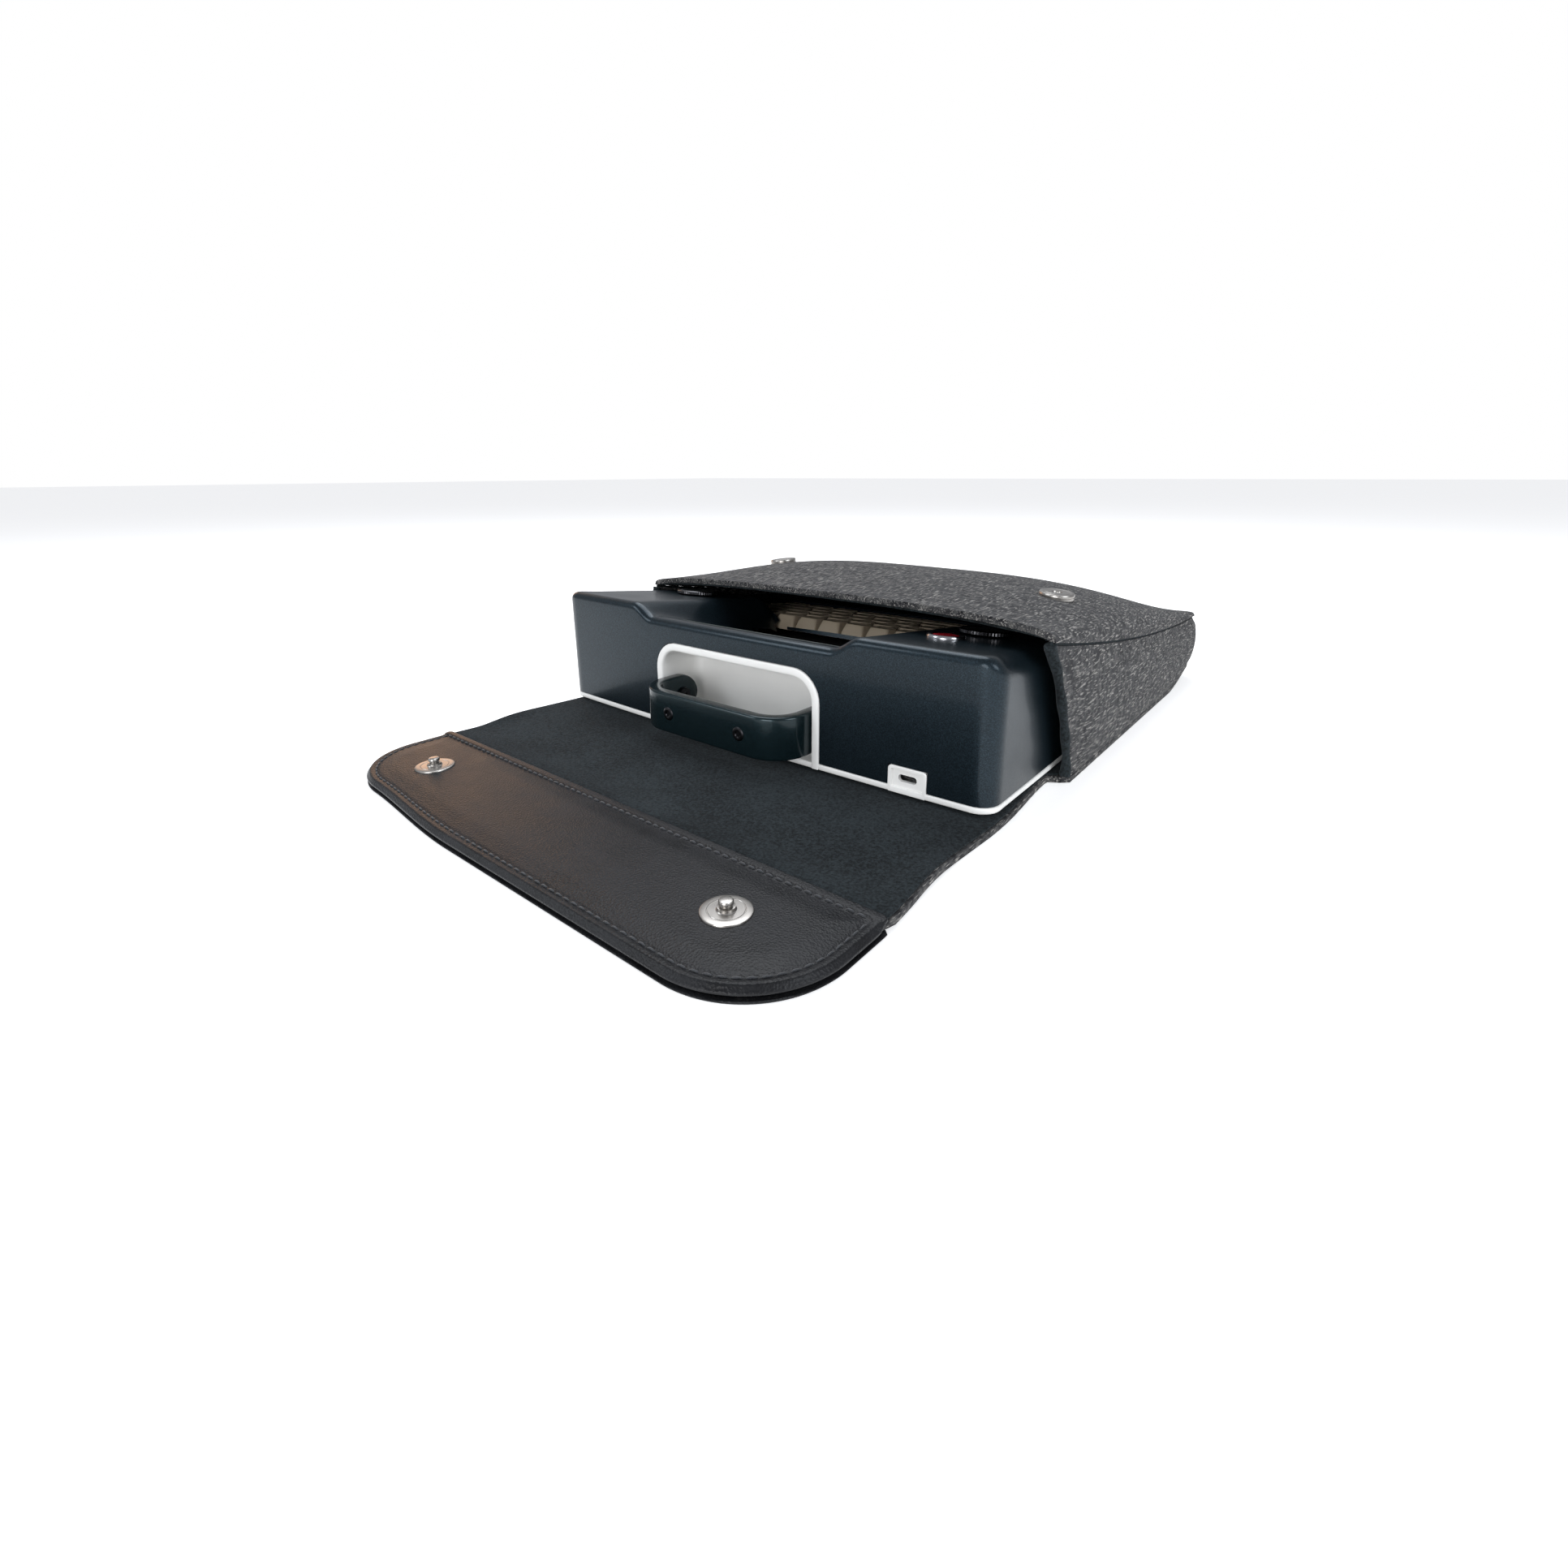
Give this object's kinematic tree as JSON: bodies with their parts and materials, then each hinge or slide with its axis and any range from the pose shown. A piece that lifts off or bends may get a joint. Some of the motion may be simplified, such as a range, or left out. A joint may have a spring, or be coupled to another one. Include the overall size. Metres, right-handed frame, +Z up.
{
  "type": "portable electronic typewriter in a felt sleeve",
  "caption": "Felt sleeve with an open leather-edged snap flap and, drawn part way out of it, a portable electronic typewriter with a fold-out carrying handle in its back face.",
  "frame": {"origin": "on the ground, at the middle of the whole part's box seen from above", "axes": "+Y from the open flap towards the sleeve's closed end, +X to the right seen from the flap, +Z up"},
  "size_m": [0.3064, 0.482, 0.086],
  "materials": {
    "grey_felt": "mottled charcoal wool felt",
    "black_lining": "blue-black microfibre",
    "black_leather": "fine-grained, low sheen",
    "snap_nickel": "nickel plated",
    "case_metal": "satin metallic dark blue-grey",
    "handle_metal": "glossy dark teal-grey",
    "white_plastic": "satin ivory white",
    "key_plastic": "cream, fine matte",
    "dark_plastic": "matte black",
    "black_screws": "black oxide",
    "chrome_trim": "polished",
    "red_button": "gloss red",
    "black_rubber": "matte",
    "screen_glass": "clear over pale grey",
    "circuit_board": "green solder mask",
    "battery_pack": "wrapped grey",
    "socket_steel": "plain"
  },
  "bodies": {
    "sleeve": {"bottom_felt": "grey_felt", "bottom_lining": "black_lining", "gusset_felt_left": "grey_felt", "gusset_felt_right": "grey_felt", "gusset_lining_left": "black_lining", "gusset_lining_right": "black_lining", "back_felt": "grey_felt", "back_lining": "black_lining", "mouth_binding_left": "black_lining", "mouth_binding_right": "black_lining"},
    "sleeve_top": {"top_felt": "grey_felt", "top_lining": "black_lining", "snap_socket_left": "snap_nickel", "snap_socket_right": "snap_nickel"},
    "flap": {"flap_felt": "grey_felt", "flap_lining": "black_lining", "leather_back": "black_leather", "leather_front": "black_leather", "snap_stud_left": "snap_nickel", "snap_stud_right": "snap_nickel"},
    "typewriter": {"base_tray": "white_plastic", "top_case": "case_metal", "screen_window": "screen_glass", "display_panel": "dark_plastic", "power_ring": "chrome_trim", "key_plate": "dark_plastic", "main_board": "circuit_board", "battery": "battery_pack", "usb_socket": "socket_steel", "handle_pivot_left": "black_screws", "handle_pivot_right": "black_screws", "rubber_foot_1": "black_rubber", "rubber_foot_2": "black_rubber", "rubber_foot_3": "black_rubber", "rubber_foot_4": "black_rubber", "case_screw_1": "black_screws", "case_screw_2": "black_screws", "case_screw_3": "black_screws", "case_screw_4": "black_screws"},
    "handle": {"handle": "handle_metal", "handle_screw_left": "black_screws", "handle_screw_right": "black_screws"},
    "power_button": {"power_button": "red_button"},
    "selector_knob_left": {"selector_knob_left": "chrome_trim"},
    "selector_knob_right": {"selector_knob_right": "chrome_trim"},
    "key_row_1": {"key_row_1": "key_plastic"},
    "key_row_2": {"key_row_2": "key_plastic"},
    "key_row_3": {"key_row_3": "key_plastic"},
    "key_row_4": {"key_row_4": "key_plastic"},
    "key_row_5_left": {"key_row_5_left": "key_plastic"},
    "key_row_5_right": {"key_row_5_right": "key_plastic"},
    "space_bar": {"space_bar": "key_plastic"}
  },
  "joints": [
    {"name": "device_slide", "type": "slide", "parent": "sleeve", "child": "typewriter", "axis": [0, -1, 0], "range_m": [-0.01, 0.075]},
    {"name": "flap_fold", "type": "hinge", "parent": "sleeve", "child": "flap", "pos_m": [0, -0.119, 0.0046], "axis": [1, 0, 0], "range_deg": [-95, 0]},
    {"name": "mouth_lift", "type": "hinge", "parent": "sleeve", "child": "sleeve_top", "pos_m": [0, 0.241, 0.0418], "axis": [-1, 0, 0], "range_deg": [0, 5]},
    {"name": "handle_swing", "type": "hinge", "parent": "typewriter", "child": "handle", "pos_m": [-0.002, -0.084, 0.0234], "axis": [-1, 0, 0], "range_deg": [0, 45]},
    {"name": "power_press", "type": "slide", "parent": "typewriter", "child": "power_button", "axis": [0, -0.1093, -0.994], "range_m": [0, 0.0015], "stiffness_N_per_m": 400, "springref_m": -0.0015},
    {"name": "selector_left_turn", "type": "hinge", "parent": "typewriter", "child": "selector_knob_left", "pos_m": [-0.106, -0.013, 0.06604], "axis": [0, 0.1093, 0.994], "range_deg": [-35, 35]},
    {"name": "selector_right_turn", "type": "hinge", "parent": "typewriter", "child": "selector_knob_right", "pos_m": [0.102, -0.013, 0.06604], "axis": [0, 0.1093, 0.994], "range_deg": [-35, 35]},
    {"name": "key_row_1_press", "type": "slide", "parent": "typewriter", "child": "key_row_1", "axis": [0, -0.1093, -0.994], "range_m": [0, 0.0035], "stiffness_N_per_m": 500, "springref_m": -0.0025},
    {"name": "key_row_2_press", "type": "slide", "parent": "typewriter", "child": "key_row_2", "axis": [0, -0.1093, -0.994], "range_m": [0, 0.0035], "stiffness_N_per_m": 500, "springref_m": -0.0025},
    {"name": "key_row_3_press", "type": "slide", "parent": "typewriter", "child": "key_row_3", "axis": [0, -0.1093, -0.994], "range_m": [0, 0.0035], "stiffness_N_per_m": 500, "springref_m": -0.0025},
    {"name": "key_row_4_press", "type": "slide", "parent": "typewriter", "child": "key_row_4", "axis": [0, -0.1093, -0.994], "range_m": [0, 0.0035], "stiffness_N_per_m": 500, "springref_m": -0.0025},
    {"name": "key_row_5_left_press", "type": "slide", "parent": "typewriter", "child": "key_row_5_left", "axis": [0, -0.1093, -0.994], "range_m": [0, 0.0035], "stiffness_N_per_m": 500, "springref_m": -0.0025},
    {"name": "key_row_5_right_press", "type": "slide", "parent": "typewriter", "child": "key_row_5_right", "axis": [0, -0.1093, -0.994], "range_m": [0, 0.0035], "stiffness_N_per_m": 500, "springref_m": -0.0025},
    {"name": "space_bar_press", "type": "slide", "parent": "typewriter", "child": "space_bar", "axis": [0, -0.1093, -0.994], "range_m": [0, 0.0035], "stiffness_N_per_m": 500, "springref_m": -0.0025}
  ]
}
